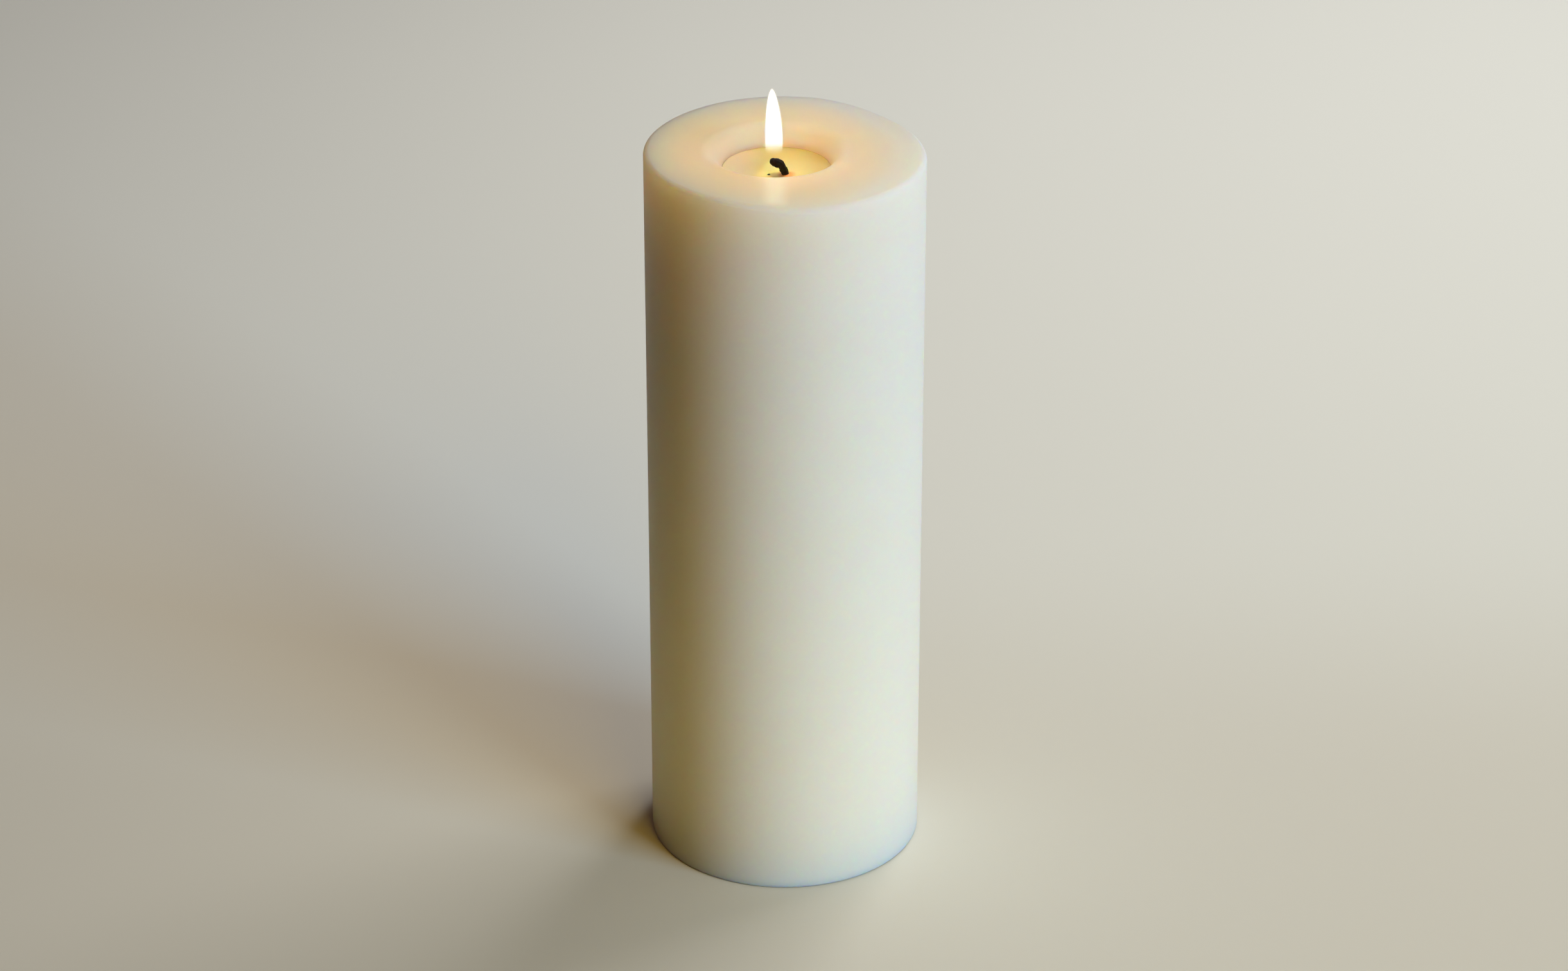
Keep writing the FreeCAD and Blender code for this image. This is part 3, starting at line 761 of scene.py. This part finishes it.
def floor_finish():
    """A plain pale floor, with painted shade that makes it darker and a little warmer in front. It throws its light
    back up mostly from a ring round the candle, less from close by and little from far off, so that the candle's
    shaded side keeps its depth."""
    made = Material("plain floor")
    where = made.place()
    cloudy = made.noise(where, 1.6, 2.0, 0.5)
    pale = made.ramp(cloudy, (0.3, (0.88, 0.93, 0.87)), (0.7, (0.90, 0.95, 0.89)))
    # Painted shade: the floor is darker and a little warmer in front.
    in_front = made.rise(made.parts(where)["Y"], 0.18, 0.02)
    pale = made.blend(in_front, pale, (0.82, 0.84, 0.76))
    path = made.node("LightPath").outputs
    looked_at = made.math("MAXIMUM", path["Is Camera Ray"], path["Is Glossy Ray"])
    looked_at = made.math("MAXIMUM", looked_at, path["Is Transmission Ray"])
    across = made.length_of(where, (1, 1, 0))
    ring = made.blend(made.rise(across, 0.04, 0.09), (0.18, 0.15, 0.08), (0.90, 0.85, 0.32))
    thrown = made.blend(made.rise(across, 0.34, 0.12), (0.05, 0.05, 0.05), ring)
    made.feed("Base Color", made.blend(looked_at, thrown, pale))
    made.set(Roughness=0.9, Specular_IOR_Level=0.2)
    return made.material


def dress(piece, material, slot, *nodes):
    """Gives a piece its material, lets it ride on the candle, and hides the nodes that it stands for. The slot is not
    used.
    """
    piece.data.materials.append(material)
    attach(piece, "root")
    if nodes:
        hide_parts(*nodes)


def make_floor():
    """A wide flat floor under the candle."""
    reach = 8.0
    corners = [(-reach, -reach, 0), (reach, -reach, 0), (reach, reach, 0), (-reach, reach, 0)]
    mesh = bpy.data.meshes.new("floor")
    mesh.from_pydata(corners, [], [(0, 1, 2, 3)])
    floor = bpy.data.objects.new("floor", mesh)
    bpy.context.scene.collection.objects.link(floor)
    mesh.materials.append(floor_finish())


def add_lamp(name, kind, location, colour, power):
    """A lamp of a kind, and the object that holds it."""
    lamp = bpy.data.lights.new(name, kind)
    lamp.color = colour
    lamp.energy = power
    item = bpy.data.objects.new(name, lamp)
    bpy.context.scene.collection.objects.link(item)
    item.location = location
    return lamp, item


def aim(item, target):
    """Turns a lamp so that it looks at a point."""
    way = np.array(target) - np.array(item.location)
    flat = math.hypot(way[0], way[1])
    item.rotation_euler = (math.atan2(flat, -way[2]), 0, math.atan2(way[1], way[0]) - TURN / 4)


def make_panel(name, azimuth, elevation, distance, size, colour, power):
    """A square soft lamp at an azimuth right of the front and an elevation, aimed at the candle's middle.

    The wax doesn't mirror it: seen from the far side, the top would otherwise be white.
    """
    middle = np.array([0, 0, HEIGHT / 2])
    turned_by, raised_by = math.radians(azimuth), math.radians(elevation)
    way = np.array([
        math.sin(turned_by) * math.cos(raised_by),
        -math.cos(turned_by) * math.cos(raised_by),
        math.sin(raised_by),
    ])
    lamp, item = add_lamp(name, "AREA", middle + way * distance, colour, power)
    lamp.shape = "SQUARE"
    lamp.size = size
    aim(item, middle)
    item.visible_glossy = False


def make_spot(name, location, target, angle, colour, power):
    """A soft-edged spot lamp for the floor behind the candle, which it doesn't reach."""
    lamp, item = add_lamp(name, "SPOT", location, colour, power)
    lamp.spot_size = math.radians(angle)
    lamp.spot_blend = 1.0
    lamp.shadow_soft_size = 0.1
    aim(item, target)


def make_flame_lamps():
    """The flame's own light: small round lamps inside it, at shares of its height."""
    for name, share, power in (("middle", 0.70, 0.0075), ("tip", 0.95, 0.0148)):
        location = (*FLAME_MIDDLE, FLAME_LOW[2] + FLAME_HEIGHT * share)
        lamp, item = add_lamp(f"flame_light_{name}", "POINT", location, (1.0, 0.92, 0.88), power)
        lamp.shadow_soft_size = 1.6 * MM
        item.visible_camera = False
        item.visible_glossy = False


def make_world():
    """A low warm light from all round. The camera sees the backdrop's pale colour past the floor, and so does what
    shines towards the back, where the backdrop stands."""
    world = bpy.data.worlds.new("room")
    world.use_nodes = True
    made = Nodes(world.node_tree)
    room = made.tree.nodes["Background"]
    room.inputs["Color"].default_value = (1.0, 0.50, 0.35, 1.0)
    room.inputs["Strength"].default_value = 0.06
    backdrop = made.node("Background", Color=(0.58, 0.57, 0.50, 1.0))
    path = made.node("LightPath").outputs
    towards_back = made.rise(made.parts(made.node("TexCoord").outputs["Generated"])["Y"], 0.1, 0.6)
    shone = made.math("MULTIPLY", path["Is Glossy Ray"], towards_back)
    seen = made.math("MAXIMUM", path["Is Camera Ray"], path["Is Transmission Ray"])
    share = made.math("MAXIMUM", seen, shone)
    surface = made.tree.nodes["World Output"].inputs["Surface"]
    made.mix(share, room.outputs["Background"], backdrop.outputs["Background"], surface)
    bpy.context.scene.world = world


def make_camera():
    """The camera, above the candle's front and looking down at it."""
    lens = bpy.data.cameras.new("camera")
    lens.lens = 105.2
    lens.sensor_width = 36.0
    camera = bpy.data.objects.new("camera", lens)
    bpy.context.scene.collection.objects.link(camera)
    camera.location = (-0.00026, -1.11546, 0.67827)
    camera.rotation_euler = (math.radians(90 - 27.152), 0.0, 0.0)
    bpy.context.scene.camera = camera


make_camera()
make_world()
make_floor()
make_panel("key", azimuth=51.0, elevation=15.0, distance=3.0, size=1.6, colour=(0.515, 0.75, 1.0), power=79.0)
make_panel("fill", azimuth=27.0, elevation=35.0, distance=1.5, size=0.8, colour=(1.0, 0.62, 0.04), power=6.2)
make_panel("back", azimuth=138.0, elevation=42.0, distance=1.5, size=0.9, colour=(0.96, 0.89, 0.85), power=9.0)
make_spot("backdrop", (0.25, 0.55, 0.95), target=(0.20, 0.45, 0.0), angle=76.0, colour=(1.0, 0.95, 0.93), power=6.5)
make_flame_lamps()

dress(make_wax(), wax_finish(), "wax", "wax_body")
dress(make_pool(), pool_finish(), "liquid_wax", "melt_pool")
char = char_finish()
dress(make_wick(), char, "wick_cotton", "wick")
dress(make_crumb(), char, "wick_cotton")
mantle = make_flame_shell("flame_mantle", 1.0, 0.0, 1.0)
dress(mantle, flame_finish("flame mantle", (1.0, 0.90, 0.74), 1.0, 0.45), "flame", "flame")
heart = make_flame_shell("flame_heart", 0.88, 0.02, 0.99)
dress(heart, flame_finish("flame heart", (0.95, 1.0, 0.87), 2.3, 1.0), "flame")

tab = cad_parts["wick_tab"]
tab.data.materials.clear()
tab.data.materials.append(tin_finish())

bpy.context.scene.view_settings.view_transform = "Standard"
